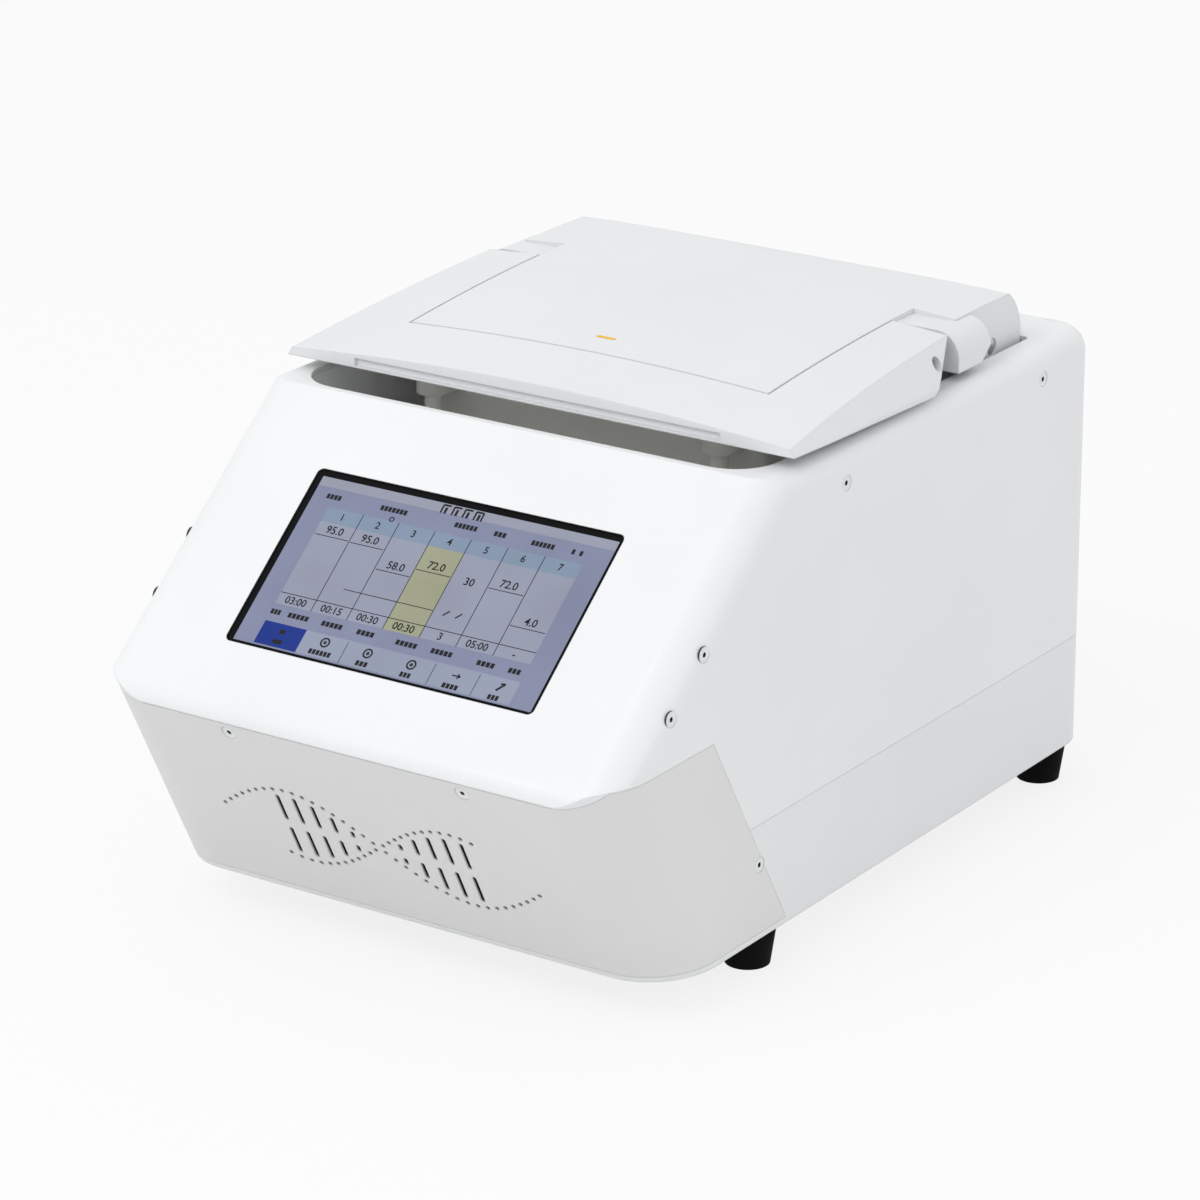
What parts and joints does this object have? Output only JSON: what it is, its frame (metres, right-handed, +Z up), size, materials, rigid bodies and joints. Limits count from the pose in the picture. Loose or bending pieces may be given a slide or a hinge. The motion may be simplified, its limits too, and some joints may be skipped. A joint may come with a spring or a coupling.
{
  "type": "thermal cycler",
  "caption": "Bench thermal cycler with a sloped touch display, a domed hinged lid with a U-shaped lift handle, a well block below it and fans at the rear.",
  "frame": {"origin": "middle of the instrument's outline seen from above, on the surface that the feet stand on", "axes": "+Z up, -Y towards the user at the display, +X to the user's right"},
  "size_m": [0.27, 0.4074, 0.2502],
  "materials": {
    "white_cover": "fine satin moulded texture",
    "white_front": "fine satin moulded texture",
    "grey_tray": "fine satin moulded texture",
    "bay_grey": "satin",
    "housing_grey": "satin heat-proof moulding",
    "black_plastic": "satin",
    "black_rubber": "matt",
    "screen_glass": "glossy display glass, lit from behind",
    "sheet_steel": "zinc plated",
    "bright_steel": "ground and polished",
    "spring_steel": "oiled",
    "machined_aluminium": "machined, satin anodised",
    "sink_aluminium": "extruded, bare",
    "rear_sheet": "powder coated",
    "ceramic": "ceramic faced",
    "board_green": "solder mask",
    "lens_amber": "lit light guide"
  },
  "bodies": {
    "case": {"base_tray": "grey_tray", "front_panel": "white_front", "upper_cover": "white_cover", "rear_panel": "rear_sheet", "chassis": "sheet_steel", "cover_screws": "bright_steel", "foot_front_left": "black_rubber", "foot_front_right": "black_rubber", "foot_rear_left": "black_rubber", "foot_rear_right": "black_rubber", "display_gasket": "black_rubber", "touch_glass": "screen_glass", "display_module": "black_plastic", "display_bracket": "sheet_steel", "bay_tray": "bay_grey", "block_seal": "black_rubber", "sample_block": "machined_aluminium", "peltier_modules": "ceramic", "heat_sink": "sink_aluminium", "fan_frame_left": "black_plastic", "fan_frame_right": "black_plastic", "power_supply": "sheet_steel", "main_board": "board_green", "power_inlet": "black_plastic", "switch_housing": "black_plastic", "usb_socket": "bright_steel", "hinge_bracket_left": "machined_aluminium", "hinge_bracket_right": "machined_aluminium", "hinge_shaft": "bright_steel", "hinge_springs": "spring_steel", "catch_posts": "bright_steel"},
    "lid": {"lid_cover": "white_cover", "lid_housing": "housing_grey", "indicator_lens": "lens_amber", "catch_magnets": "bright_steel"},
    "handle": {"handle_yoke": "white_cover", "lift_shaft": "bright_steel"},
    "heater": {"heated_plate": "machined_aluminium", "plate_springs": "spring_steel", "pressure_plate": "sheet_steel"},
    "rocker": {"switch_rocker": "black_plastic"},
    "left_rotor": {"fan_rotor_left": "black_plastic"},
    "right_rotor": {"fan_rotor_right": "black_plastic"}
  },
  "joints": [
    {"name": "lid_hinge", "type": "hinge", "parent": "case", "child": "lid", "pos_m": [0, 0.13125, 0.2242], "axis": [-1, 0, 0], "range_deg": [0, 75]},
    {"name": "handle_lift", "type": "hinge", "parent": "lid", "child": "handle", "pos_m": [0, 0.06275, 0.236], "axis": [-1, 0, 0], "range_deg": [0, 14]},
    {"name": "plate_lift", "type": "slide", "parent": "lid", "child": "heater", "axis": [0, 0, 1], "range_m": [0, 0.003]},
    {"name": "power_rocker", "type": "hinge", "parent": "case", "child": "rocker", "pos_m": [0.038, 0.19815, 0.052], "axis": [1, 0, 0], "range_deg": [0, 20]},
    {"name": "left_fan_spin", "type": "hinge", "parent": "case", "child": "left_rotor", "pos_m": [-0.05, 0.18625, 0.12], "axis": [0, 1, 0], "continuous": true},
    {"name": "right_fan_spin", "type": "hinge", "parent": "case", "child": "right_rotor", "pos_m": [0.05, 0.18625, 0.12], "axis": [0, 1, 0], "continuous": true}
  ],
  "couplings": [
    {"joint": "plate_lift", "follows": "handle_lift", "m_per_rad": 0.012278}
  ]
}
